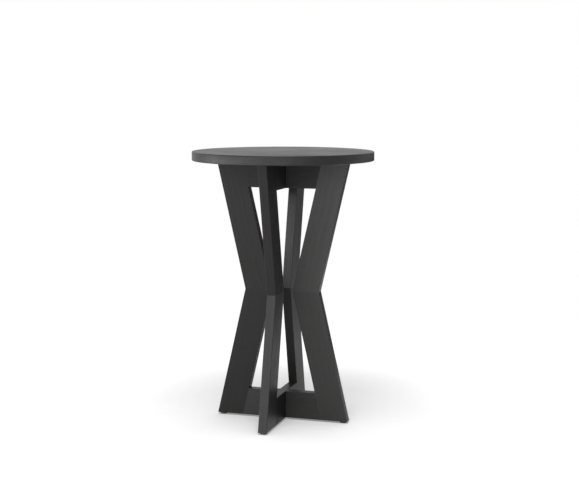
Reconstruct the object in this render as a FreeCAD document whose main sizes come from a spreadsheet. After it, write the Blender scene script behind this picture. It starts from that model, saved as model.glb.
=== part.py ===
import FreeCAD, Part
import math
import os

import Sketcher
from FreeCAD import Vector

# Wine table: a round top on two hourglass panels that cross at right angles.
# Each panel is four slanted leg boards, mitred in pairs at the waist, between a top and a bottom rail.
# The rails are halved into each other where they cross, and a levelling glide screws into every foot.
# The origin is on the floor under the middle of the top, X runs left to right and Z is up.

doc = FreeCAD.newDocument("wine_table")
sheet = doc.addObject("Spreadsheet::Sheet", "sizes")

# Driving dimensions in millimetres
driving = {
    # whole table
    "table_height": 762.0,
    "top_diameter": 508.0,
    "top_thickness": 25.4,
    "top_edge_radius": 2.5,
    # hourglass panels
    "panel_width": 385.0,
    "waist_width": 216.0,
    "panel_thickness": 25.4,
    "leg_width": 75.0,
    "rail_height": 77.0,
    "arris_radius": 1.5,
    # joints between the boards
    "lap_clearance": 0.1,
    "tenon_length": 50.0,
    "tenon_width": 40.0,
    "tenon_thickness": 10.0,
    "tenon_clearance": 0.1,
    "tenon_end_clearance": 1.0,
    # threaded inserts, the same in the top and in the feet
    "thread_diameter": 6.0,
    "thread_clearance": 0.06,
    "insert_diameter": 10.0,
    "insert_length": 13.0,
    "insert_clearance": 0.05,
    "insert_slot_width": 1.6,
    "insert_slot_depth": 2.0,
    "blind_hole_clearance": 2.0,
    # screws that hold the top
    "screw_play": 1.0,
    "screw_engagement": 11.4,
    "screw_head_diameter": 10.0,
    "screw_head_height": 6.0,
    "screw_socket_width": 5.0,
    "screw_socket_depth": 3.0,
    "washer_diameter": 12.0,
    "washer_thickness": 1.6,
    "washer_play": 0.4,
    "counterbore_depth": 40.0,
    "counterbore_play": 2.0,
    # levelling glides
    "pad_diameter": 20.0,
    "pad_height": 5.0,
    "pad_floor": 2.0,
    "pad_edge_radius": 3.0,
    "pad_inset": 14.0,
    "stem_length": 25.0,
    "stem_tip_chamfer": 1.0,
    "stem_head_width": 10.0,
    "stem_head_clearance": 0.05,
    # how far every cutting solid runs past the wood
    "cut_overrun": 5.0,
}

# Dimensions worked out from the driving ones
worked_out = {
    "panel_height": "table_height - top_thickness - pad_height",
    "panel_top": "pad_height + panel_height",
    "waist_level": "pad_height + panel_height / 2",
    "slope": "(panel_width - waist_width) / panel_height",
    "lean": "atan(slope)",
    "leg_span": "leg_width * sqrt(1 + slope ^ 2)",
    "neck_reach": "waist_width / 2 - leg_span",
    "window_reach": "panel_width / 2 - leg_span - slope * rail_height",
    "zone_reach": "window_reach + slope * (rail_height + cut_overrun)",
    "zone_depth": "panel_thickness + 2 * cut_overrun",
    "top_rail_low": "panel_top - rail_height",
    "top_rail_middle": "panel_top - rail_height / 2",
    "bottom_rail_high": "pad_height + rail_height",
    "bottom_rail_middle": "pad_height + rail_height / 2",
    "leg_reach": "panel_width / 2 + cut_overrun",
    "half_height": "panel_height / 2 + cut_overrun",
    "lap_width": "panel_thickness + 2 * lap_clearance",
    "lap_height": "rail_height / 2 + cut_overrun",
    "waist_tenon_x": "waist_width / 2 - leg_span / 2",
    "rail_tenon_x": "panel_width / 2 - leg_span - slope * rail_height / 2",
    "mortise_length": "tenon_length + 2 * tenon_end_clearance",
    "mortise_width": "tenon_width + 2 * tenon_clearance",
    "mortise_thickness": "tenon_thickness + 2 * tenon_clearance",
    "mortise_end_x": "rail_tenon_x - mortise_length / 2 * cos(lean) - mortise_width / 2 * sin(lean)",
    "fixing_x": "(lap_width / 2 + mortise_end_x) / 2",
    "insert_hole_diameter": "insert_diameter + 2 * insert_clearance",
    "thread_hole_diameter": "thread_diameter + 2 * thread_clearance",
    "clearance_hole_diameter": "thread_diameter + screw_play",
    "washer_hole_diameter": "thread_diameter + washer_play",
    "counterbore_diameter": "washer_diameter + counterbore_play",
    "washer_level": "top_rail_low + counterbore_depth - washer_thickness",
    "screw_length": "panel_top + screw_engagement - washer_level",
    "top_hole_depth": "max(insert_length; screw_engagement) + blind_hole_clearance",
    "foot_x": "panel_width / 2 - pad_inset",
    "stem_hole_depth": "stem_length + blind_hole_clearance",
    "stem_head_height": "pad_height - pad_floor",
    "stem_pocket_width": "stem_head_width + 2 * stem_head_clearance",
}

for row, (alias, number) in enumerate(driving.items(), start=1):
    sheet.set(f"A{row}", alias.replace("_", " "))
    sheet.set(f"B{row}", str(number))
    sheet.setAlias(f"B{row}", alias)
for row, (alias, formula) in enumerate(worked_out.items(), start=len(driving) + 1):
    sheet.set(f"A{row}", alias.replace("_", " "))
    sheet.set(f"B{row}", "=" + formula)
    sheet.setAlias(f"B{row}", alias)
doc.recompute()

# Turns about the table's axis, in degrees, that carry the right-hand arm to each side
sides = {"right": 0, "back": 90, "left": 180, "front": 270}
both_ends = (0, 180)
crossings = {"left_right": 0, "front_back": 90}


def size(formula):
    """The present value of a formula on the sheet."""
    return float(sheet.evalExpression(formula))


def bind(thing, **formulas):
    """Binds properties of a document object to the sheet."""
    for name, formula in formulas.items():
        thing.setExpression(name, formula)
    return thing


def seat(thing, x="0", y="0", z="0", tilt="0", turn=0):
    """Places an object on the right-hand arm, tilted about Y, then turns it about the table's axis."""
    turned = f"create(<<placement>>; create(<<vector>>; 0; 0; 0); create(<<rotation>>; {turn}; 0; 0))"
    seated = f"create(<<placement>>; create(<<vector>>; {x}; {y}; {z}); create(<<rotation>>; 0; {tilt}; 0))"
    return bind(thing, Placement=f"{turned} * {seated}")


def cylinder(name, diameter, height, **place):
    rod = doc.addObject("Part::Cylinder", name)
    bind(rod, Radius=f"({diameter}) / 2", Height=height)
    return seat(rod, **place)


def hexagon(name, width, height, **place):
    """An upright hexagonal prism, sized across its flats."""
    prism = doc.addObject("Part::Prism", name)
    prism.Polygon = 6
    bind(prism, Circumradius=f"({width}) / sqrt(3)", Height=height)
    return seat(prism, **place)


def block(name, length, width, height, x="0", z="0"):
    """A box centred across the arm, and about x along it, that stands on z."""
    box = doc.addObject("Part::Box", name)
    bind(box, Length=length, Width=width, Height=height)
    return seat(box, x=f"({x}) - ({length}) / 2", y=f"-({width}) / 2", z=z)


def cut(name, base, tool, **place):
    result = doc.addObject("Part::Cut", name)
    result.Base = base
    result.Tool = tool
    return seat(result, **place)


def common(name, base, tool):
    result = doc.addObject("Part::Common", name)
    result.Base = base
    result.Tool = tool
    return result


def fuse(name, things, **place):
    result = doc.addObject("Part::MultiFuse", name)
    result.Shapes = things
    return seat(result, **place)


def group(name, things, **place):
    result = doc.addObject("Part::Compound", name)
    result.Links = things
    return seat(result, **place)


def one_per_side(name, thing, **place):
    """A group with one copy of a piece on each arm."""
    copies = [group(f"{name}_{side}", [thing], turn=turn, **place) for side, turn in sides.items()]
    return group(name, copies)


def origin_feature(body, role):
    return next(feature for feature in body.Origin.OriginFeatures if feature.Role == role)


def new_sketch(body, name, role, level="0"):
    sketch = body.newObject("Sketcher::SketchObject", name)
    sketch.AttachmentSupport = (origin_feature(body, role), [""])
    sketch.MapMode = "FlatFace"
    return bind(sketch, **{"AttachmentOffset.Base.z": level})


def constrain(sketch, kind, *where, formula):
    """Adds a dimension to a sketch and binds it to the sheet."""
    index = sketch.addConstraint(Sketcher.Constraint(kind, *where, size(formula)))
    sketch.setExpression(f"Constraints[{index}]", formula)


def draw_outline(sketch, corners):
    """Draws a closed outline whose corners are pairs of formulas."""
    first = sketch.GeometryCount
    count = len(corners)
    points = [Vector(size(x), size(y)) for x, y in corners]
    for index in range(count):
        sketch.addGeometry(Part.LineSegment(points[index], points[(index + 1) % count]))
    for index in range(count):
        following = first + (index + 1) % count
        sketch.addConstraint(Sketcher.Constraint("Coincident", first + index, 2, following, 1))
    for index, (x, y) in enumerate(corners, start=first):
        constrain(sketch, "DistanceX", index, 1, formula=x)
        constrain(sketch, "DistanceY", index, 1, formula=y)


def mirrored(right_half):
    """Adds the left-hand corners to an outline given by its right-hand ones."""
    return right_half + [(f"-({x})", y) for x, y in reversed(right_half)]


def draw_circle(sketch, diameter, x=None):
    """Draws a circle on the sketch's X axis, at its origin where x is left out."""
    centre = size(x) if x else 0
    sketch.addGeometry(Part.Circle(Vector(centre, 0), Vector(0, 0, 1), size(diameter) / 2))
    if x:
        sketch.addConstraint(Sketcher.Constraint("PointOnObject", 0, 3, -1))
        constrain(sketch, "DistanceX", 0, 3, formula=x)
    else:
        sketch.addConstraint(Sketcher.Constraint("Coincident", 0, 3, -1, 1))
    constrain(sketch, "Diameter", 0, formula=diameter)


def pad(body, sketch, name, length, side="One side"):
    feature = body.newObject("PartDesign::Pad", name)
    feature.Profile = sketch
    feature.SideType = side
    return bind(feature, Length=length)


def fillet(body, base, name, radius, wanted):
    """Rounds the edges of a feature that the test picks."""
    doc.recompute()
    feature = body.newObject("PartDesign::Fillet", name)
    edges = enumerate(base.Shape.Edges, start=1)
    feature.Base = (base, [f"Edge{index}" for index, edge in edges if wanted(edge)])
    return bind(feature, Radius=radius)


def round_edged_bar(name, width, thickness, length):
    """A flat bar with round edges, along Z about its middle, with its width along X."""
    body = doc.addObject("PartDesign::Body", name)
    sketch = new_sketch(body, f"{name}_section", "XY_Plane")
    radius = size(thickness) / 2
    reach = size(width) / 2 - radius
    sketch.addGeometry(Part.LineSegment(Vector(-reach, radius), Vector(reach, radius)))
    sketch.addGeometry(Part.LineSegment(Vector(reach, -radius), Vector(-reach, -radius)))
    for centre, start in ((reach, -math.pi / 2), (-reach, math.pi / 2)):
        circle = Part.Circle(Vector(centre, 0), Vector(0, 0, 1), radius)
        sketch.addGeometry(Part.ArcOfCircle(circle, start, start + math.pi))
    for ends in ((0, 2, 2, 2), (1, 1, 2, 1), (1, 2, 3, 2), (0, 1, 3, 1)):
        sketch.addConstraint(Sketcher.Constraint("Tangent", *ends))
    sketch.addConstraint(Sketcher.Constraint("Symmetric", 2, 3, 3, 3, -1, 1))
    sketch.addConstraint(Sketcher.Constraint("PointOnObject", 2, 3, -1))
    constrain(sketch, "Radius", 2, formula=f"({thickness}) / 2")
    constrain(sketch, "DistanceX", 3, 3, 2, 3, formula=f"({width}) - ({thickness})")
    pad(body, sketch, f"{name}_length", length, "Symmetric")
    return body


# Round top, drilled underneath for the inserts
top = doc.addObject("PartDesign::Body", "table_top")
top_outline = new_sketch(top, "top_outline", "XY_Plane", "sizes.panel_top")
draw_circle(top_outline, "sizes.top_diameter")
top_disc = pad(top, top_outline, "top_disc", "sizes.top_thickness")
fillet(top, top_disc, "top_edge", "sizes.top_edge_radius", lambda edge: edge.isClosed())
insert_place = new_sketch(top, "insert_place", "XY_Plane", "sizes.panel_top")
draw_circle(insert_place, "sizes.insert_hole_diameter", "sizes.fixing_x")
insert_hole = bind(top.newObject("PartDesign::Pocket", "insert_hole"), Length="sizes.top_hole_depth")
insert_hole.Profile = insert_place
insert_hole.Reversed = True
insert_holes = top.newObject("PartDesign::PolarPattern", "insert_holes")
insert_holes.Originals = [insert_hole]
insert_holes.Axis = (origin_feature(top, "Z_Axis"), [""])
insert_holes.Angle = 360
insert_holes.Occurrences = len(sides)
top.Tip = insert_holes

# One hourglass panel after gluing up, its edges eased all round except where it meets the top
panel = doc.addObject("PartDesign::Body", "panel")
panel_outline = new_sketch(panel, "panel_outline", "XZ_Plane")
outer_edge = [
    ("sizes.panel_width / 2", "sizes.pad_height"),
    ("sizes.waist_width / 2", "sizes.waist_level"),
    ("sizes.panel_width / 2", "sizes.panel_top"),
]
window_edge = [
    ("sizes.window_reach", "sizes.bottom_rail_high"),
    ("sizes.neck_reach", "sizes.waist_level"),
    ("sizes.window_reach", "sizes.top_rail_low"),
]
draw_outline(panel_outline, mirrored(outer_edge))
draw_outline(panel_outline, mirrored(window_edge))
panel_board = pad(panel, panel_outline, "panel_board", "sizes.panel_thickness", "Symmetric")


def is_arris(edge):
    """True for an edge along one face's outline, but not for those that meet the top."""
    start, end = (vertex.Point for vertex in edge.Vertexes)
    on_one_face = start.y * end.y > 0
    halfway_up_rail = size("sizes.top_rail_middle")
    return on_one_face and min(start.z, end.z) < halfway_up_rail


fillet(panel, panel_board, "eased_edges", "sizes.arris_radius", is_arris)


def rail_zone(name, window_level, outer_level):
    """The wedge of the panel that belongs to a rail, from its window edge out past the panel's end."""
    body = doc.addObject("PartDesign::Body", name)
    sketch = new_sketch(body, f"{name}_outline", "XZ_Plane")
    draw_outline(sketch, mirrored([("sizes.window_reach", window_level), ("sizes.zone_reach", outer_level)]))
    pad(body, sketch, f"{name}_depth", "sizes.zone_depth", "Symmetric")
    return body


def leg_zone(name, level):
    """The right-hand half of the panel above or below the waist."""
    leg_sizes = ("sizes.leg_reach", "sizes.zone_depth", "sizes.half_height")
    return block(name, *leg_sizes, x="sizes.leg_reach / 2", z=level)


top_zone = rail_zone("top_rail_zone", "sizes.top_rail_low", "sizes.panel_top + sizes.cut_overrun")
bottom_zone = rail_zone("bottom_rail_zone", "sizes.bottom_rail_high", "sizes.pad_height - sizes.cut_overrun")
upper_zone = leg_zone("upper_leg_zone", "sizes.waist_level")
lower_zone = leg_zone("lower_leg_zone", "sizes.pad_height - sizes.cut_overrun")
upper_board = cut("upper_leg_board", common("upper_leg_half", panel, upper_zone), top_zone)
lower_board = cut("lower_leg_board", common("lower_leg_half", panel, lower_zone), bottom_zone)
top_rail_board = common("top_rail_board", panel, top_zone)
bottom_rail_board = common("bottom_rail_board", panel, bottom_zone)

# Loose tenons, square to the joints that they cross, and the mortises that take them
tenon = round_edged_bar("tenon", "sizes.tenon_width", "sizes.tenon_thickness", "sizes.tenon_length")
mortise = round_edged_bar("mortise", "sizes.mortise_width", "sizes.mortise_thickness", "sizes.mortise_length")
waist_seat = {"x": "sizes.waist_tenon_x", "z": "sizes.waist_level"}
top_rail_seat = {"x": "sizes.rail_tenon_x", "z": "sizes.top_rail_middle", "tilt": "90 deg + sizes.lean"}
bottom_rail_seat = {"x": "sizes.rail_tenon_x", "z": "sizes.bottom_rail_middle", "tilt": "90 deg - sizes.lean"}
waist_tenons = one_per_side("waist_tenons", tenon, **waist_seat)
top_rail_tenons = one_per_side("top_rail_tenons", tenon, **top_rail_seat)
bottom_rail_tenons = one_per_side("bottom_rail_tenons", tenon, **bottom_rail_seat)
waist_mortise = group("waist_mortise", [mortise], **waist_seat)
top_mortises = [group(f"top_mortise_{turn}", [mortise], turn=turn, **top_rail_seat) for turn in both_ends]
bottom_mortises = [
    group(f"bottom_mortise_{turn}", [mortise], turn=turn, **bottom_rail_seat) for turn in both_ends
]

# Legs, the lower ones drilled for a glide and its insert
under_foot = {"x": "sizes.foot_x", "z": "sizes.pad_height - sizes.cut_overrun"}
foot_insert_hole = cylinder(
    "foot_insert_hole", "sizes.insert_hole_diameter", "sizes.insert_length + sizes.cut_overrun", **under_foot
)
stem_hole = cylinder(
    "stem_hole", "sizes.clearance_hole_diameter", "sizes.stem_hole_depth + sizes.cut_overrun", **under_foot
)
foot_hole = fuse("foot_hole", [foot_insert_hole, stem_hole])
upper_cuts = group("upper_leg_cuts", [waist_mortise, top_mortises[0]])
lower_cuts = group("lower_leg_cuts", [waist_mortise, bottom_mortises[0], foot_hole])
upper_legs = [cut(f"upper_leg_{side}", upper_board, upper_cuts, turn=turn) for side, turn in sides.items()]
lower_legs = [cut(f"lower_leg_{side}", lower_board, lower_cuts, turn=turn) for side, turn in sides.items()]

# Counterbored holes up through a top rail for the screws
under_rail = {"x": "sizes.fixing_x", "z": "sizes.top_rail_low - sizes.cut_overrun"}
screw_bore = cylinder(
    "screw_bore", "sizes.clearance_hole_diameter", "sizes.rail_height + 2 * sizes.cut_overrun", **under_rail
)
counterbore = cylinder(
    "counterbore", "sizes.counterbore_diameter", "sizes.counterbore_depth + sizes.cut_overrun", **under_rail
)
screw_holes = [fuse(f"screw_hole_{turn}", [screw_bore, counterbore], turn=turn) for turn in both_ends]

# Rails, halved at the crossing: the left-right pair from above and the front-back pair from below
lap_sizes = ("sizes.lap_width", "sizes.zone_depth", "sizes.lap_height")
lap_rise = {"left_right": "sizes.rail_height / 2", "front_back": "-sizes.cut_overrun"}
rails = []
for crossing, turn in crossings.items():
    top_lap = block(f"top_lap_{crossing}", *lap_sizes, z=f"sizes.top_rail_low + {lap_rise[crossing]}")
    bottom_lap = block(f"bottom_lap_{crossing}", *lap_sizes, z=f"sizes.pad_height + {lap_rise[crossing]}")
    top_cuts = group(f"top_rail_cuts_{crossing}", [*top_mortises, *screw_holes, top_lap])
    bottom_cuts = group(f"bottom_rail_cuts_{crossing}", [*bottom_mortises, bottom_lap])
    rails.append(cut(f"top_rail_{crossing}", top_rail_board, top_cuts, turn=turn))
    rails.append(cut(f"bottom_rail_{crossing}", bottom_rail_board, bottom_cuts, turn=turn))

# Threaded insert, with a driving slot across its outer end, flush with the wood's face
sleeve = cylinder("insert_sleeve", "sizes.insert_diameter", "sizes.insert_length")
insert_bore = cylinder("insert_bore", "sizes.thread_hole_diameter", "sizes.insert_length")
insert_slot = block(
    "insert_slot",
    "sizes.insert_slot_width",
    "sizes.insert_diameter + 2 * sizes.cut_overrun",
    "sizes.insert_slot_depth + sizes.cut_overrun",
    z="-sizes.cut_overrun",
)
insert = cut("insert", sleeve, fuse("insert_cuts", [insert_bore, insert_slot]))
top_inserts = one_per_side("top_inserts", insert, x="sizes.fixing_x", z="sizes.panel_top")
foot_inserts = one_per_side("foot_inserts", insert, x="sizes.foot_x", z="sizes.pad_height")

# Socket head screw and washer, the screw's head hanging below the washer
screw_shank = cylinder("screw_shank", "sizes.thread_diameter", "sizes.screw_length")
screw_head = cylinder(
    "screw_head", "sizes.screw_head_diameter", "sizes.screw_head_height", z="-sizes.screw_head_height"
)
screw_socket = hexagon(
    "screw_socket",
    "sizes.screw_socket_width",
    "sizes.screw_socket_depth + sizes.cut_overrun",
    z="-sizes.screw_head_height - sizes.cut_overrun",
)
screw = cut("screw", fuse("screw_blank", [screw_shank, screw_head]), screw_socket)
washer_disc = cylinder("washer_disc", "sizes.washer_diameter", "sizes.washer_thickness")
washer_hole = cylinder("washer_hole", "sizes.washer_hole_diameter", "sizes.washer_thickness")
washer = cut("washer", washer_disc, washer_hole)
top_screws = one_per_side("top_screws", screw, x="sizes.fixing_x", z="sizes.washer_level")
top_washers = one_per_side("top_washers", washer, x="sizes.fixing_x", z="sizes.washer_level")

# Levelling glide: a threaded stem whose hexagonal head is moulded into a round pad, fully screwed in
stem_shank = cylinder(
    "stem_shank", "sizes.thread_diameter", "sizes.stem_length - sizes.stem_tip_chamfer", z="sizes.pad_height"
)
stem_tip = doc.addObject("Part::Cone", "stem_tip")
bind(
    stem_tip,
    Radius1="sizes.thread_diameter / 2",
    Radius2="sizes.thread_diameter / 2 - sizes.stem_tip_chamfer",
    Height="sizes.stem_tip_chamfer",
)
seat(stem_tip, z="sizes.pad_height + sizes.stem_length - sizes.stem_tip_chamfer")
stem_head = hexagon("stem_head", "sizes.stem_head_width", "sizes.stem_head_height", z="sizes.pad_floor")
stem_pieces = [stem_shank, stem_tip, stem_head]
glide_pad = doc.addObject("PartDesign::Body", "glide_pad")
pad_outline = new_sketch(glide_pad, "pad_outline", "XY_Plane")
draw_circle(pad_outline, "sizes.pad_diameter")
pad_disc = pad(glide_pad, pad_outline, "pad_disc", "sizes.pad_height")


def is_lower_edge(edge):
    return edge.CenterOfMass.z < size("sizes.pad_height") / 2


fillet(glide_pad, pad_disc, "pad_edge", "sizes.pad_edge_radius", is_lower_edge)
pad_pocket = hexagon("pad_pocket", "sizes.stem_pocket_width", "sizes.pad_height", z="sizes.pad_floor")
glide_stems = []
glide_pads = []
for side, turn in sides.items():
    glide_stems.append(fuse(f"glide_stem_{side}", stem_pieces, x="sizes.foot_x", turn=turn))
    glide_pads.append(cut(f"glide_pad_{side}", glide_pad, pad_pocket, x="sizes.foot_x", turn=turn))

pieces = [
    top,
    *upper_legs,
    *lower_legs,
    *rails,
    waist_tenons,
    top_rail_tenons,
    bottom_rail_tenons,
    top_inserts,
    top_screws,
    top_washers,
    foot_inserts,
    *glide_stems,
    *glide_pads,
]

doc.recompute()
failed = [thing.Name for thing in doc.Objects if {"Invalid", "Error"} & set(thing.State)]
if failed:
    raise RuntimeError(f"these objects failed to recompute: {failed}")
for piece in pieces:
    if piece.Shape.isNull() or not piece.Shape.isValid() or not piece.Shape.Solids:
        raise RuntimeError(f"{piece.Label} has no valid solid")

os.makedirs("parts", exist_ok=True)
for piece in pieces:
    piece.Shape.exportStep(f"parts/{piece.Label}.step")
    print(f"{piece.Label}: {len(piece.Shape.Solids)} solids, {piece.Shape.Volume:.1f} mm3")
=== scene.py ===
import math

import bpy
from mathutils import Matrix, Vector


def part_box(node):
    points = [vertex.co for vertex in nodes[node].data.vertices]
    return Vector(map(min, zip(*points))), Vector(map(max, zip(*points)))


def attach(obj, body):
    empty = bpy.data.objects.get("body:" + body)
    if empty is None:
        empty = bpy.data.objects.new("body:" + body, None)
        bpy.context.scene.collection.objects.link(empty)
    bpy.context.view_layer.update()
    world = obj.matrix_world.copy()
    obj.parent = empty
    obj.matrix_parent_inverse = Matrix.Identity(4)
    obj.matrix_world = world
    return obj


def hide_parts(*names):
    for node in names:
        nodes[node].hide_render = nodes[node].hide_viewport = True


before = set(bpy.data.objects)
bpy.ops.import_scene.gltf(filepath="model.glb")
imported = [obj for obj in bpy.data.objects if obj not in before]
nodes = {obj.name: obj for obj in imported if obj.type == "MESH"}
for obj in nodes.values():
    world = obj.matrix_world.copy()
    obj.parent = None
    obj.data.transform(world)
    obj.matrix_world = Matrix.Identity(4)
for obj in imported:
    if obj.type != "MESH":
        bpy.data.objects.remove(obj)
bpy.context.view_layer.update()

scene = bpy.context.scene
sides = {"right": 0, "back": 90, "left": 180, "front": 270}  # degrees about Z
print("frame loaded:", len(nodes), "nodes")


# camera, where the photograph was taken from

cameraView = {
    "azimuth": 17.11,  # degrees to the right of the front
    "distance": 3.5703,  # along the floor, metres
    "height": 0.9512,
    "heading": 16.817,
    "pitch": -7.345,
    "roll": 0.07,
    "lens": 79.58,
    "sensor": 36.0,
    "clipStart": 0.05,
    "clipEnd": 100,
}


def placeCamera(view):
    azimuth, heading, pitch, roll = (
        math.radians(view[key]) for key in ("azimuth", "heading", "pitch", "roll")
    )
    camera = bpy.data.objects.new("photoCamera", bpy.data.cameras.new("photoCamera"))
    camera.data.sensor_fit = "HORIZONTAL"
    camera.data.sensor_width = view["sensor"]
    camera.data.lens = view["lens"]
    camera.data.clip_start = view["clipStart"]
    camera.data.clip_end = view["clipEnd"]
    level = Vector((-math.sin(heading), math.cos(heading), 0))
    ahead = level * math.cos(pitch) + Vector((0, 0, math.sin(pitch)))
    across = ahead.cross(Vector((0, 0, 1))).normalized()
    upward = across.cross(ahead)
    right = across * math.cos(roll) + upward * math.sin(roll)
    up = upward * math.cos(roll) - across * math.sin(roll)
    turn = Matrix((right, up, -ahead)).transposed().to_4x4()
    place = Vector((math.sin(azimuth), -math.cos(azimuth), 0)) * view["distance"]
    place.z = view["height"]
    camera.matrix_world = Matrix.Translation(place) @ turn
    scene.collection.objects.link(camera)
    scene.camera = camera


placeCamera(cameraView)
scene.view_settings.view_transform = "Standard"
print("camera placed")


# small helpers for node trees

def setInputs(tree, node, inputs):
    # a socket is linked, anything else is the input's own value
    for key, value in inputs.items():
        if isinstance(value, bpy.types.NodeSocket):
            tree.links.new(value, node.inputs[key])
        else:
            node.inputs[key].default_value = value


def addNode(tree, kind, inputs=None, **settings):
    node = tree.nodes.new(kind)
    for key, value in settings.items():
        setattr(node, key, value)
    setInputs(tree, node, inputs or {})
    return node


def mathNode(tree, operation, first, second=0.0, third=0.0, clamp=False):
    inputs = {0: first, 1: second, 2: third}
    return addNode(tree, "ShaderNodeMath", inputs, operation=operation, use_clamp=clamp).outputs[0]


def vectorNode(tree, operation, inputs, output="Vector"):
    return addNode(tree, "ShaderNodeVectorMath", inputs, operation=operation).outputs[output]


def mapRange(tree, value, fromMin, fromMax, toMin=0.0, toMax=1.0, **settings):
    limits = {"Value": value, "From Min": fromMin, "From Max": fromMax, "To Min": toMin, "To Max": toMax}
    return addNode(tree, "ShaderNodeMapRange", limits, **settings).outputs["Result"]


def mixColour(tree, factor, first, second):
    inputs = {"Factor": factor, 6: first, 7: second}  # A and B as colours
    return addNode(tree, "ShaderNodeMix", inputs, data_type="RGBA").outputs[2]


def noise(tree, vector, stretch, detail=2.0):
    scaled = vectorNode(tree, "MULTIPLY", {0: vector, 1: stretch})
    return addNode(tree, "ShaderNodeTexNoise", {"Vector": scaled, "Scale": 1.0, "Detail": detail})


def bumpNode(tree, height, strength, depth):
    inputs = {"Height": height, "Strength": strength, "Distance": depth}
    return addNode(tree, "ShaderNodeBump", inputs).outputs["Normal"]


def objectPlace(tree):
    return addNode(tree, "ShaderNodeTexCoord").outputs["Object"]


def newGroup(name, inputs, outputs):
    group = bpy.data.node_groups.new(name, "ShaderNodeTree")
    for key, kind in inputs.items():
        group.interface.new_socket(key, in_out="INPUT", socket_type=kind)
    for key, kind in outputs.items():
        group.interface.new_socket(key, in_out="OUTPUT", socket_type=kind)
    return group, group.nodes.new("NodeGroupInput"), group.nodes.new("NodeGroupOutput")


def useGroup(tree, group, inputs):
    return addNode(tree, "ShaderNodeGroup", inputs, node_tree=group).outputs


def newMaterial(name):
    material = bpy.data.materials.new(name)
    material.use_nodes = True
    tree = material.node_tree
    return material, tree, tree.nodes["Principled BSDF"]


# shared effects

woodGrain = {  # noises per metre, along the grain and twice across it
    "waviness": (1.4, 11.0, 11.0),
    "swing": 0.014,  # how far the rings wander, metres
    "ripple": (1.1, 75.0, 75.0),
    "rippleSwing": 0.0032,  # wide and narrow years
    "rings": 110.0,
    "earlyWood": (0.75, 0.1),  # soft part of a ring, where the pores sit
    "ringHeight": 0.6,
    "years": (0.8, 130.0, 130.0),  # some years stained darker than others
    "yearSpread": (0.35, 0.65),
    "yearTone": (0.15, 0.60),
    "fibres": (22.0, 950.0, 950.0),
    "fibreSpread": (0.2, 0.8),
    "fibreTone": (0.08, 0.52),
    "fibreHeight": 0.5,
    "pores": (55.0, 1500.0, 1500.0),
    "poreSpread": (0.54, 0.66),
    "patches": (2.2, 9.0, 9.0),
    "patchSpread": (0.25, 0.75),
    "patchTone": (-0.22, 0.22),
}


def drift(tree, vector, place, stretch, amount):
    # moves a vector about by a noise of its place
    wander = noise(tree, place, stretch).outputs["Color"]
    centred = vectorNode(tree, "SUBTRACT", {0: wander, 1: (0.5, 0.5, 0.5)})
    shift = vectorNode(tree, "SCALE", {0: centred, "Scale": amount})
    return vectorNode(tree, "ADD", {0: vector, 1: shift})


def makeWoodFigure(values):
    group, given, result = newGroup(
        "woodFigure",
        {"Vector": "NodeSocketVector"},
        {"Tone": "NodeSocketFloat", "Pores": "NodeSocketFloat", "Height": "NodeSocketFloat"},
    )
    vector = given.outputs["Vector"]
    bent = drift(group, vector, vector, values["waviness"], values["swing"])
    bent = drift(group, bent, vector, values["ripple"], values["rippleSwing"])
    rings = addNode(
        group,
        "ShaderNodeTexWave",
        {"Vector": bent, "Scale": values["rings"]},
        wave_type="RINGS",
        rings_direction="X",
        wave_profile="SAW",
    ).outputs["Fac"]
    years = noise(group, bent, values["years"], 1.0).outputs["Fac"]
    fibres = noise(group, vector, values["fibres"], 3.0).outputs["Fac"]
    specks = noise(group, vector, values["pores"], 1.0).outputs["Fac"]
    patches = noise(group, vector, values["patches"]).outputs["Fac"]
    early = mapRange(group, rings, *values["earlyWood"])
    pores = mathNode(group, "MULTIPLY", mapRange(group, specks, *values["poreSpread"]), early)
    yearTone = mapRange(group, years, *values["yearSpread"], *values["yearTone"])
    fibreTone = mapRange(group, fibres, *values["fibreSpread"], *values["fibreTone"])
    patchTone = mapRange(group, patches, *values["patchSpread"], *values["patchTone"])
    tone = mathNode(group, "MULTIPLY_ADD", rings, yearTone, fibreTone)
    tone = mathNode(group, "ADD", tone, patchTone, clamp=True)
    height = mathNode(group, "MULTIPLY", rings, values["ringHeight"])
    height = mathNode(group, "MULTIPLY_ADD", fibres, values["fibreHeight"], height)
    height = mathNode(group, "SUBTRACT", height, pores)
    setInputs(group, result, {"Tone": tone, "Pores": pores, "Height": height})
    return group


rubbing = {
    "rubbed": (0.62, 0.30),  # occlusion inside the piece, from a face to a sharp edge
    "breaks": (45.0, 45.0, 45.0),
    "breakSpread": (0.35, 0.65),
    "samples": 6,
}


def makeArrisWear(values):
    group, given, result = newGroup(
        "arrisWear",
        {"Vector": "NodeSocketVector", "Reach": "NodeSocketFloat"},
        {"Wear": "NodeSocketFloat"},
    )
    edge = addNode(
        group,
        "ShaderNodeAmbientOcclusion",
        {"Distance": given.outputs["Reach"]},
        inside=True,
        only_local=True,
        samples=values["samples"],
    ).outputs["AO"]
    breaks = noise(group, given.outputs["Vector"], values["breaks"], 3.0).outputs["Fac"]
    rubbed = mapRange(group, edge, *values["rubbed"])
    broken = mapRange(group, breaks, *values["breakSpread"])
    setInputs(group, result, {"Wear": mathNode(group, "MULTIPLY", rubbed, broken, clamp=True)})
    return group


touch = {
    "smears": (1.0, 1.0, 1.0),  # times the material's own size
    "smearSpread": (0.3, 0.7),
    "dust": (38.0, 38.0, 38.0),
    "dustSpread": (0.62, 0.75),
}


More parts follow.
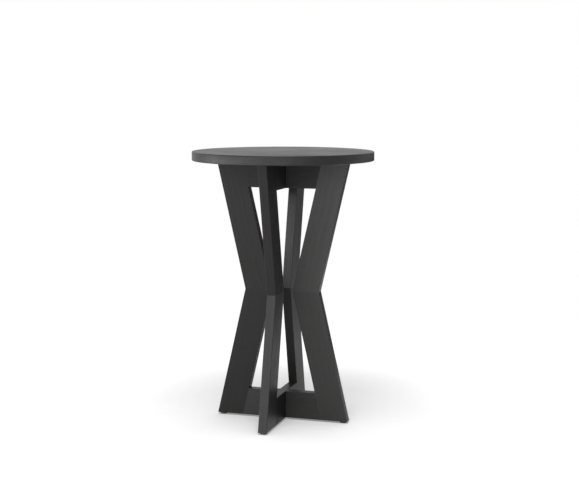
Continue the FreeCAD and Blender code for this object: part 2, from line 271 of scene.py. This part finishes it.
def makeHandling(values):
    group, given, result = newGroup(
        "handling",
        {"Vector": "NodeSocketVector", "Size": "NodeSocketFloat"},
        {"Smear": "NodeSocketFloat", "Dust": "NodeSocketFloat"},
    )
    scaled = vectorNode(group, "SCALE", {0: given.outputs["Vector"], "Scale": given.outputs["Size"]})
    smears = noise(group, scaled, values["smears"], 4.0).outputs["Fac"]
    dust = noise(group, scaled, values["dust"]).outputs["Fac"]
    setInputs(
        group,
        result,
        {
            "Smear": mapRange(group, smears, *values["smearSpread"]),
            "Dust": mapRange(group, dust, *values["dustSpread"]),
        },
    )
    return group


woodFigure = makeWoodFigure(woodGrain)
arrisWear = makeArrisWear(rubbing)
handling = makeHandling(touch)


# charcoal stained wood, one material for each board so that its grain runs along it and so that each
# board carries its own painted light and shade

stain = {
    "dark": (0.0070, 0.0064, 0.0062),
    "light": (0.0156, 0.0145, 0.0141),
    "pore": (0.0036, 0.0032, 0.0031),
    "worn": (0.0440, 0.0380, 0.0350),
    "wornShare": 0.55,
    "wearReach": 0.003,
    "smearSize": 7.0,
    "sheen": (0.38, 0.47),  # from a wiped place to a dull one
    "poreDull": 0.12,
    "toneSheen": (0.05, -0.05),  # hard wood takes a better polish
    "wornPolish": 0.10,
    "relief": 0.00012,
    "reliefStrength": 0.5,
}


def stainedWood(name, turn, shift, depth, lacquer):
    material, tree, shader = newMaterial(name)
    # depth scales every colour of the board: painted light and shade that make this board lighter or
    # darker than the others
    dark, light, pore, worn = (
        tuple(part * depth for part in stain[key]) + (1,) for key in ("dark", "light", "pore", "worn")
    )
    place = objectPlace(tree)
    along = {"Vector": place, "Rotation": turn, "Location": shift}
    board = addNode(tree, "ShaderNodeMapping", along).outputs["Vector"]
    figure = useGroup(tree, woodFigure, {"Vector": board})
    wear = useGroup(tree, arrisWear, {"Vector": place, "Reach": stain["wearReach"]})["Wear"]
    touched = useGroup(tree, handling, {"Vector": board, "Size": stain["smearSize"]})
    colour = mixColour(tree, figure["Tone"], dark, light)
    colour = mixColour(tree, figure["Pores"], colour, pore)
    colour = mixColour(tree, mathNode(tree, "MULTIPLY", wear, stain["wornShare"]), colour, worn)
    rough = mapRange(tree, touched["Smear"], 0.0, 1.0, *stain["sheen"])
    rough = mathNode(tree, "MULTIPLY_ADD", figure["Pores"], stain["poreDull"], rough)
    rough = mathNode(tree, "ADD", rough, mapRange(tree, figure["Tone"], 0.0, 1.0, *stain["toneSheen"]))
    polish = mathNode(tree, "MULTIPLY", wear, stain["wornPolish"])
    setInputs(
        tree,
        shader,
        {
            "Base Color": colour,
            "Roughness": mathNode(tree, "SUBTRACT", rough, polish, clamp=True),
            "Normal": bumpNode(tree, figure["Height"], stain["reliefStrength"], stain["relief"]),
            "Specular IOR Level": lacquer,
        },
    )
    return material


boards = {
    "lean": 13.0,  # degrees that a leg leans
    "paintedBoardLight": {  # painted light and shade, board by board: a factor on the stain's colours (above 1 is lighter) and the lacquer level, set so the right-hand leg boards come out lighter and the left-hand ones darker as the light falls on them
        "table_top": (1.0, 0.28),
        "upper_leg_right": (1.33, 0.29),
        "lower_leg_right": (1.24, 0.26),
        "upper_leg_left": (0.72, 0.16),
        "lower_leg_left": (0.75, 0.15),
        "upper_leg_front": (1.0, 0.17),
        "lower_leg_front": (0.98, 0.22),
        "upper_leg_back": (1.0, 0.38),
        "lower_leg_back": (0.9, 0.19),
        "top_rail_left_right": (0.75, 0.15),
        "top_rail_front_back": (0.75, 0.24),
        "bottom_rail_left_right": (1.0, 0.24),
        "bottom_rail_front_back": (0.65, 0.15),
    },
    "pith": (0.07, 0.11),  # how far the heart of the tree lies from the board
    "logStep": 0.731,  # from one board to the next along the log
    "legSteps": (0.013, -0.021),  # and across it
    "railSteps": (-0.017, 0.009),
    "topTurn": (0, math.radians(1.3), math.radians(4)),  # the tilt draws out long arches
    "topShift": (0.2, 0.05, -0.86),
}


def dressBoards(values):
    lean = math.radians(values["lean"])
    near, deep = values["pith"]
    grain = {"table_top": (values["topTurn"], values["topShift"])}
    count = 0
    across, inward = values["legSteps"]
    for side, angle in sides.items():
        for level, way in (("upper_leg", 1), ("lower_leg", -1)):
            count += 1
            # the side's own X is turned back to X, then the leaning board is laid along X
            upright = Matrix.Rotation(math.radians(90) - way * lean, 3, "Y")
            turn = (upright @ Matrix.Rotation(math.radians(-angle), 3, "Z")).to_euler("XYZ")
            shift = (values["logStep"] * count, near + across * count, deep + inward * count)
            grain[f"{level}_{side}"] = (turn, shift)
    across, inward = values["railSteps"]
    for crossing, angle in (("left_right", 0), ("front_back", 90)):
        for level in ("top_rail", "bottom_rail"):
            count += 1
            shift = (values["logStep"] * count, near + across * count, deep + inward * count)
            grain[f"{level}_{crossing}"] = ((0, 0, math.radians(-angle)), shift)
    for name, (turn, shift) in grain.items():
        wood = stainedWood(f"stained_{name}", turn, shift, *values["paintedBoardLight"][name])
        nodes[name].material_slots[0].material = wood


dressBoards(boards)
print("boards dressed")


# bare wood of the hidden tenons

tenonWood = {
    "dark": (0.36, 0.22, 0.11, 1),
    "light": (0.55, 0.38, 0.22, 1),
    "sheen": (0.62, 0.78),
    "relief": 0.0002,
    "reliefStrength": 0.4,
    "shift": (0.3, 0.05, 0.08),
    "turn": {
        "waist_tenons": (0, math.radians(90), 0),
        "top_rail_tenons": (0, 0, 0),
        "bottom_rail_tenons": (0, 0, 0),
    },
}


def bareWood(name, turn, values):
    material, tree, shader = newMaterial(name)
    along = {"Vector": objectPlace(tree), "Rotation": turn, "Location": values["shift"]}
    board = addNode(tree, "ShaderNodeMapping", along).outputs["Vector"]
    figure = useGroup(tree, woodFigure, {"Vector": board})
    setInputs(
        tree,
        shader,
        {
            "Base Color": mixColour(tree, figure["Tone"], values["dark"], values["light"]),
            "Roughness": mapRange(tree, figure["Tone"], 0.0, 1.0, *values["sheen"]),
            "Normal": bumpNode(tree, figure["Height"], values["reliefStrength"], values["relief"]),
        },
    )
    return material


for tenons, turn in tenonWood["turn"].items():
    nodes[tenons].material_slots[0].material = bareWood(f"bare_{tenons}", turn, tenonWood)


# hardware finishes

turnedBrass = {
    "bright": (0.62, 0.42, 0.16, 1),
    "dull": (0.44, 0.28, 0.10, 1),
    "worn": (0.78, 0.58, 0.28, 1),
    "sheen": (0.26, 0.44),
    "smearSize": 160.0,
    "wearReach": 0.0006,
}


def brassFinish(values):
    material, tree, shader = newMaterial("turned_brass")
    place = objectPlace(tree)
    smear = useGroup(tree, handling, {"Vector": place, "Size": values["smearSize"]})["Smear"]
    wear = useGroup(tree, arrisWear, {"Vector": place, "Reach": values["wearReach"]})["Wear"]
    colour = mixColour(tree, smear, values["bright"], values["dull"])
    setInputs(
        tree,
        shader,
        {
            "Base Color": mixColour(tree, wear, colour, values["worn"]),
            "Roughness": mapRange(tree, smear, 0.0, 1.0, *values["sheen"]),
            "Metallic": 1.0,
        },
    )
    return material


zincPlate = {
    "bright": (0.52, 0.53, 0.55, 1),
    "dull": (0.40, 0.40, 0.39, 1),
    "dust": (0.62, 0.61, 0.58, 1),
    "sheen": (0.28, 0.46),
    "smearSize": 220.0,
}


def zincFinish(values):
    material, tree, shader = newMaterial("zinc_plate")
    touched = useGroup(tree, handling, {"Vector": objectPlace(tree), "Size": values["smearSize"]})
    colour = mixColour(tree, touched["Smear"], values["bright"], values["dull"])
    setInputs(
        tree,
        shader,
        {
            "Base Color": mixColour(tree, touched["Dust"], colour, values["dust"]),
            "Roughness": mapRange(tree, touched["Smear"], 0.0, 1.0, *values["sheen"]),
            "Metallic": 1.0,
        },
    )
    return material


mouldedNylon = {
    "dark": (0.0060, 0.0060, 0.0062, 1),
    "light": (0.0105, 0.0105, 0.0108, 1),
    "worn": (0.030, 0.030, 0.031, 1),
    "wornShare": 0.5,
    "wearReach": 0.0012,
    "sheen": (0.46, 0.62),
    "smearSize": 120.0,
    "grit": (3200.0, 3200.0, 3200.0),
    "relief": 0.00008,
    "reliefStrength": 0.25,
}


def nylonFinish(values):
    material, tree, shader = newMaterial("black_nylon_moulded")
    place = objectPlace(tree)
    smear = useGroup(tree, handling, {"Vector": place, "Size": values["smearSize"]})["Smear"]
    wear = useGroup(tree, arrisWear, {"Vector": place, "Reach": values["wearReach"]})["Wear"]
    worn = mathNode(tree, "MULTIPLY", wear, values["wornShare"])
    grit = noise(tree, place, values["grit"]).outputs["Fac"]
    colour = mixColour(tree, smear, values["dark"], values["light"])
    setInputs(
        tree,
        shader,
        {
            "Base Color": mixColour(tree, worn, colour, values["worn"]),
            "Roughness": mapRange(tree, smear, 0.0, 1.0, *values["sheen"]),
            "Normal": bumpNode(tree, grit, values["reliefStrength"], values["relief"]),
        },
    )
    return material


brass = brassFinish(turnedBrass)
zinc = zincFinish(zincPlate)
nylon = nylonFinish(mouldedNylon)
for name in ("top_inserts", "foot_inserts"):
    nodes[name].material_slots[0].material = brass
nodes["top_washers"].material_slots[0].material = zinc
for side in sides:
    nodes[f"glide_pad_{side}"].material_slots[0].material = nylon
print("hardware dressed")


# small helpers for modelling by hand

weld = 0.000002  # points this near are one point
flatEnd = 0.99  # least upright part of a flat end's normal


def clearSelection():
    bpy.ops.object.select_all(action="DESELECT")


def namePiece(name):
    piece = bpy.context.object
    piece.name = piece.data.name = name
    return piece


def pick(piece):
    clearSelection()
    piece.select_set(True)
    bpy.context.view_layer.objects.active = piece


def applyPlace():
    bpy.ops.object.transform_apply(location=True, rotation=True, scale=True)


def editAll(piece):
    pick(piece)
    bpy.ops.object.mode_set(mode="EDIT")
    bpy.ops.mesh.select_mode(type="VERT")
    bpy.ops.mesh.select_all(action="SELECT")


def leaveEdit():
    bpy.ops.object.mode_set(mode="OBJECT")


def editNone(piece, kind):
    editAll(piece)
    bpy.ops.mesh.select_mode(type=kind)
    bpy.ops.mesh.select_all(action="DESELECT")
    leaveEdit()


def editFaces(piece, wanted):
    editNone(piece, "FACE")
    for face in piece.data.polygons:
        face.select = wanted(face)
    bpy.ops.object.mode_set(mode="EDIT")


def editEdges(piece, wanted):
    editNone(piece, "EDGE")
    points = piece.data.vertices
    for edge in piece.data.edges:
        edge.select = wanted(*(points[index].co for index in edge.vertices))
    bpy.ops.object.mode_set(mode="EDIT")


def extrudeUp(rise, narrow, level):
    # the selected end is drawn out along Z and narrowed about the axis
    bpy.ops.mesh.extrude_region_move(TRANSFORM_OT_translate={"value": (0, 0, rise)})
    bpy.ops.transform.resize(value=(narrow, narrow, 1), center_override=(0, 0, level))


def applyModifier(piece, kind, **settings):
    pick(piece)
    modifier = piece.modifiers.new(kind.lower(), kind)
    for key, value in settings.items():
        setattr(modifier, key, value)
    bpy.ops.object.modifier_apply(modifier=modifier.name)


def carve(piece, operation, tool):
    applyModifier(piece, "BOOLEAN", operation=operation, object=tool, solver="EXACT")
    mesh = tool.data
    bpy.data.objects.remove(tool)
    bpy.data.meshes.remove(mesh)


def drawProfile(name, points):
    # one vertex, then extruded from point to point
    clearSelection()
    bpy.ops.mesh.primitive_plane_add(size=0.001)
    piece = namePiece(name)
    editAll(piece)
    bpy.ops.mesh.merge(type="CENTER")
    here = (0.0, 0.0)
    for step, point in enumerate(points):
        move = (point[0] - here[0], 0, point[1] - here[1])
        if step:
            bpy.ops.mesh.extrude_region_move(TRANSFORM_OT_translate={"value": move})
        else:
            bpy.ops.transform.translate(value=move)
        here = point
    leaveEdit()
    return piece


def smoothFinish(piece, angle=32):
    editAll(piece)
    bpy.ops.mesh.remove_doubles(threshold=weld)
    bpy.ops.mesh.normals_make_consistent(inside=False)
    leaveEdit()
    bpy.ops.object.shade_smooth_by_angle(angle=math.radians(angle))


def onSide(angle, reach, level):
    turn = math.radians(angle)
    return (reach * math.cos(turn), reach * math.sin(turn), level)


def hexagonRadius(acrossFlats):
    return acrossFlats / 2 / math.cos(math.radians(30))


def copyTo(piece, name, place, turn):
    twin = piece.copy()
    twin.data = piece.data.copy()
    twin.name = twin.data.name = name
    scene.collection.objects.link(twin)
    twin.location = place
    twin.rotation_euler = (0, 0, turn)
    pick(twin)
    applyPlace()
    return twin


# rolled M6 thread, shared by the glides and the screws under the top

thread = {
    "crest": 0.00297,
    "root": 0.00246,
    "pitch": 0.001,
    "flat": 0.00012,  # width of the crest
    "steps": 28,
    "bury": 0.0004,  # how far it starts inside the head
    "lead": 0.0008,  # tapered start
    "leadNarrow": 0.80,
    "startBelow": 1.5,  # pitches, cut off again
    "spareTurns": 3,
    "cutThreshold": 0.0000001,
}


def rollThread(name, head, tip):
    pitch, half = thread["pitch"], thread["flat"] / 2
    low = head - thread["bury"]
    top = tip - thread["lead"]
    start = low - pitch * thread["startBelow"]
    rod = drawProfile(
        name,
        [
            (thread["root"], start),
            (thread["crest"], start + pitch / 2 - half),
            (thread["crest"], start + pitch / 2 + half),
            (thread["root"], start + pitch),
        ],
    )
    applyModifier(
        rod,
        "SCREW",
        axis="Z",
        screw_offset=pitch,
        iterations=math.ceil((tip - low) / pitch) + thread["spareTurns"],
        steps=thread["steps"],
        render_steps=thread["steps"],
        use_merge_vertices=False,
    )
    editAll(rod)
    bpy.ops.mesh.remove_doubles(threshold=weld)
    for level, belowGoes in ((low, True), (top, False)):
        bpy.ops.mesh.select_all(action="SELECT")
        bpy.ops.mesh.bisect(
            plane_co=(0, 0, level),
            plane_no=(0, 0, 1),
            use_fill=True,
            clear_inner=belowGoes,
            clear_outer=not belowGoes,
            threshold=thread["cutThreshold"],
        )
    leaveEdit()
    editFaces(rod, lambda face: abs(face.normal.z) > flatEnd and face.center.z > top - weld)
    extrudeUp(thread["lead"], thread["leadNarrow"], tip)
    leaveEdit()
    return rod


# round top, with a softened edge and blind holes for the inserts

fixingReach = 0.04479  # from the middle of the table to each screw

roundTop = {
    "segments": 288,
    "edge": 0.0025,
    "edgeSteps": 6,
    "holeRadius": 0.00505,
    "holeDepth": 0.015,
    "holeSteps": 48,
}


def makeTop(values):
    low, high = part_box("table_top")
    clearSelection()
    bpy.ops.mesh.primitive_cylinder_add(
        vertices=values["segments"],
        radius=(high[0] - low[0]) / 2,
        depth=high[2] - low[2],
        location=(0, 0, (high[2] + low[2]) / 2),
    )
    piece = namePiece("round_top")
    applyPlace()
    editEdges(piece, lambda first, second: abs(first.z - second.z) < values["edge"])
    bpy.ops.mesh.bevel(offset=values["edge"], segments=values["edgeSteps"], affect="EDGES")
    leaveEdit()
    for angle in sides.values():
        clearSelection()
        bpy.ops.mesh.primitive_cylinder_add(
            vertices=values["holeSteps"],
            radius=values["holeRadius"],
            depth=values["holeDepth"] * 2,
            location=onSide(angle, fixingReach, low[2]),
        )
        carve(piece, "DIFFERENCE", namePiece("insertHole"))
    smoothFinish(piece)
    piece.data.materials.append(nodes["table_top"].material_slots[0].material)
    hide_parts("table_top")
    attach(piece, "table")


# levelling stems, hexagon head below and thread above

stem = {
    "headWidth": 0.0099,  # across the flats
    "headLow": 0.002,
    "headHigh": 0.005,
    "tip": 0.030,
    "edge": 0.00035,
    "edgeSteps": 3,
    "reach": 0.1785,  # from the middle of the table to each foot
}


def makeStem(values):
    clearSelection()
    bpy.ops.mesh.primitive_cylinder_add(
        vertices=6,
        radius=hexagonRadius(values["headWidth"]),
        depth=values["headHigh"] - values["headLow"],
        location=(0, 0, (values["headHigh"] + values["headLow"]) / 2),
        rotation=(0, 0, math.radians(90)),
    )
    piece = namePiece("stem")
    applyPlace()
    editAll(piece)
    bpy.ops.mesh.bevel(offset=values["edge"], segments=values["edgeSteps"], affect="EDGES")
    leaveEdit()
    carve(piece, "UNION", rollThread("stemThread", values["headHigh"], values["tip"]))
    smoothFinish(piece)
    return piece


def placeStems(values):
    pattern = makeStem(values)
    for side, angle in sides.items():
        place = onSide(angle, values["reach"], 0)
        piece = copyTo(pattern, f"threaded_stem_{side}", place, math.radians(angle))
        piece.data.materials.append(zinc)
        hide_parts(f"glide_stem_{side}")
        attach(piece, f"glide_{side}")
    bpy.data.objects.remove(pattern)


# socket head screws that hold the top, knurled round the head

screw = {
    "headRadius": 0.005,
    "headLow": -0.006,
    "headHigh": 0.0,
    "tip": 0.050,
    "washerLevel": 0.698,
    "knurls": 36,
    "knurlDepth": 0.962,
    "chamfer": 0.0006,
    "socketWidth": 0.005,
    "socketDepth": 0.003,
    "turnEach": 0.4,  # radians, as no two stop alike
}


def makeScrew(values):
    low, high, radius = values["headLow"], values["headHigh"], values["headRadius"]
    corners = values["knurls"] * 2
    clearSelection()
    bpy.ops.mesh.primitive_cylinder_add(
        vertices=corners,
        radius=radius,
        depth=high - low - values["chamfer"],
        location=(0, 0, (high + low + values["chamfer"]) / 2),
    )
    piece = namePiece("screw")
    applyPlace()
    editFaces(piece, lambda face: face.normal.z < -flatEnd)  # the end with the socket
    extrudeUp(-values["chamfer"], 1 - values["chamfer"] / radius, low)
    leaveEdit()

    def isGroove(first, second):
        upright = abs(first.z - second.z) > (high - low) / 2
        place = round(math.atan2(first.x, first.y) / (math.pi * 2 / corners))
        return upright and place % 2 == 0

    editEdges(piece, isGroove)
    deep = values["knurlDepth"]
    bpy.ops.transform.resize(value=(deep, deep, 1), center_override=(0, 0, low))
    leaveEdit()
    clearSelection()
    bpy.ops.mesh.primitive_cylinder_add(
        vertices=6,
        radius=hexagonRadius(values["socketWidth"]),
        depth=values["socketDepth"] * 2,
        location=(0, 0, low),
    )
    carve(piece, "DIFFERENCE", namePiece("socket"))
    carve(piece, "UNION", rollThread("screwThread", high, values["tip"]))
    smoothFinish(piece)
    return piece


def placeScrews(values):
    pattern = makeScrew(values)
    copies = []
    for side, angle in sides.items():
        place = onSide(angle, fixingReach, values["washerLevel"])
        turn = math.radians(angle) + values["turnEach"] * len(copies)
        copies.append(copyTo(pattern, f"screw_{side}", place, turn))
    bpy.data.objects.remove(pattern)
    clearSelection()
    for piece in copies:
        piece.select_set(True)
    bpy.context.view_layer.objects.active = copies[0]
    bpy.ops.object.join()
    piece = namePiece("knurled_top_screws")
    piece.data.materials.append(zinc)
    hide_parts("top_screws")
    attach(piece, "table")


makeTop(roundTop)
placeStems(stem)
placeScrews(screw)
print("top turned, stems and screws threaded")


# pale floor that fades into a white surround, with a painted shadow under the table

studio = {
    "floorSize": 6.0,
    "floorSteps": 64,
    "floorColour": (0.78, 0.78, 0.78, 1),
    "floorLift": 0.66,  # brings the lit floor up to white
    "farLift": 0.95,  # the same where the lamp hardly reaches
    "liftSpan": (0.4, 1.2),  # metres from the middle, from the first lift to the second
    "contactReach": 0.90,  # how far the occlusion reaches that paints the table's shadow on the floor
    "contactDepth": 2.4,
    "contactLeast": 0.36,  # lift that the painted shadow leaves right under a board
    "contactSamples": 8,
    "fadeSpan": (0.6, 1.5),  # metres from the middle, from solid to clear
    "matt": 0.9,  # roughness of the floor and the card
    "surround": 0.22,  # level that falls on the object
    "lamps": {  # place, width, height, power, and the pieces that it leaves out or lights alone
        "frontLamp": ((0.35, -2.57, 0.38), 1.1, 0.76, 24.0, "EXCLUDE", ("floor", "round_top")),
        "highLamp": ((-0.4, -2.58, 1.75), 1.8, 1.8, 43.0, "EXCLUDE", ("floor", "round_top")),
        "leftLamp": ((-2.1, -1.54, 0.38), 1.8, 0.76, 50.0, "EXCLUDE", ("floor", "round_top")),
        # wide and dim for the rim, whose ends would glare from behind
        "rimFrontLamp": ((0.35, -2.57, 0.38), 3.0, 0.76, 29.0, "INCLUDE", ("round_top",)),
        "rimLeftLamp": ((-2.1, -1.54, 0.38), 3.6, 0.76, 54.0, "INCLUDE", ("round_top",)),
        # the floor keeps this one soft shadow
        "overheadLamp": ((0.2, -1.1, 2.5), 1.2, 1.2, 36.0, "EXCLUDE", ()),
    },
    "aim": (0, 0, 0.42),
    "flagPlace": (0.95, 3.0, 0.35),  # dark card out of the picture, which the satin sides mirror
    "flagWidth": 1.5,
    "flagHeight": 1.3,
    "flagColour": (0.03, 0.03, 0.03, 1),
}


def seenDirectly(tree):
    path = addNode(tree, "ShaderNodeLightPath").outputs
    mirrored = mathNode(tree, "ADD", path["Is Camera Ray"], path["Is Glossy Ray"], clamp=True)
    return mathNode(tree, "ADD", mirrored, path["Is Transmission Ray"], clamp=True)


def layFloor(values):
    clearSelection()
    bpy.ops.mesh.primitive_circle_add(
        vertices=values["floorSteps"], radius=values["floorSize"] / 2, fill_type="NGON"
    )
    floor = namePiece("floor")
    material, tree, shader = newMaterial("pale_floor")
    material.cycles.emission_sampling = "NONE"
    away = vectorNode(tree, "LENGTH", {0: objectPlace(tree)}, "Value")
    contact = addNode(
        tree,
        "ShaderNodeAmbientOcclusion",
        {"Distance": values["contactReach"]},
        samples=values["contactSamples"],
    ).outputs["AO"]
    # painted shadow: the floor's lift is darkened where the table hides it, deepest under the boards
    shade = mathNode(tree, "POWER", contact, values["contactDepth"])
    shade = mapRange(tree, shade, 0.0, 1.0, values["contactLeast"], 1.0)
    lift = mapRange(tree, away, *values["liftSpan"], values["floorLift"], values["farLift"])
    lift = mathNode(tree, "MULTIPLY", lift, shade)
    setInputs(
        tree,
        shader,
        {
            "Base Color": values["floorColour"],
            "Roughness": values["matt"],
            "Specular IOR Level": 0.0,
            "Emission Color": (1, 1, 1, 1),
            "Emission Strength": mathNode(tree, "MULTIPLY", lift, seenDirectly(tree)),
        },
    )
    fade = mapRange(tree, away, *values["fadeSpan"], interpolation_type="SMOOTHSTEP")
    beneath = addNode(tree, "ShaderNodeNewGeometry").outputs["Backfacing"]
    gone = mathNode(tree, "MAXIMUM", fade, beneath)
    clear = addNode(tree, "ShaderNodeBsdfTransparent").outputs[0]
    blend = addNode(tree, "ShaderNodeMixShader", {0: gone, 1: shader.outputs[0], 2: clear}).outputs[0]
    setInputs(tree, tree.nodes["Material Output"], {"Surface": blend})
    floor.data.materials.append(material)


def hangLamp(name, place, width, height, power, linkState, pieces, aim):
    lamp = bpy.data.lights.new(name, "AREA")
    lamp.shape = "RECTANGLE"
    lamp.size = width
    lamp.size_y = height
    lamp.energy = power
    holder = bpy.data.objects.new(name, lamp)
    holder.location = place
    holder.visible_camera = False
    holder.rotation_euler = (Vector(aim) - Vector(place)).to_track_quat("-Z", "Y").to_euler()
    scene.collection.objects.link(holder)
    if pieces:
        linked = bpy.data.collections.new(f"{name}Linked")
        for piece in pieces:
            linked.objects.link(bpy.data.objects[piece])
        for entry in linked.collection_objects:
            entry.light_linking.link_state = linkState
        holder.light_linking.receiver_collection = linked


def standFlag(values):
    clearSelection()
    turn = (Vector(values["aim"]) - Vector(values["flagPlace"])).to_track_quat("Z", "Y").to_euler()
    bpy.ops.mesh.primitive_plane_add(size=1.0, location=values["flagPlace"], rotation=turn)
    flag = namePiece("flag")
    flag.scale = (values["flagWidth"], values["flagHeight"], 1)
    flag.visible_camera = False
    material, tree, shader = newMaterial("dark_card")
    setInputs(tree, shader, {"Base Color": values["flagColour"], "Roughness": values["matt"]})
    flag.data.materials.append(material)


def lightSurround(values):
    world = bpy.data.worlds.new("whiteSurround")
    scene.world = world
    world.use_nodes = True
    world.cycles.sampling_method = "NONE"
    tree = world.node_tree
    level = mapRange(tree, seenDirectly(tree), 0.0, 1.0, values["surround"], 1.0)
    setInputs(tree, tree.nodes["Background"], {"Color": (1, 1, 1, 1), "Strength": level})


layFloor(studio)
for name, settings in studio["lamps"].items():
    hangLamp(name, *settings, studio["aim"])
standFlag(studio)
lightSurround(studio)
print("studio lit")
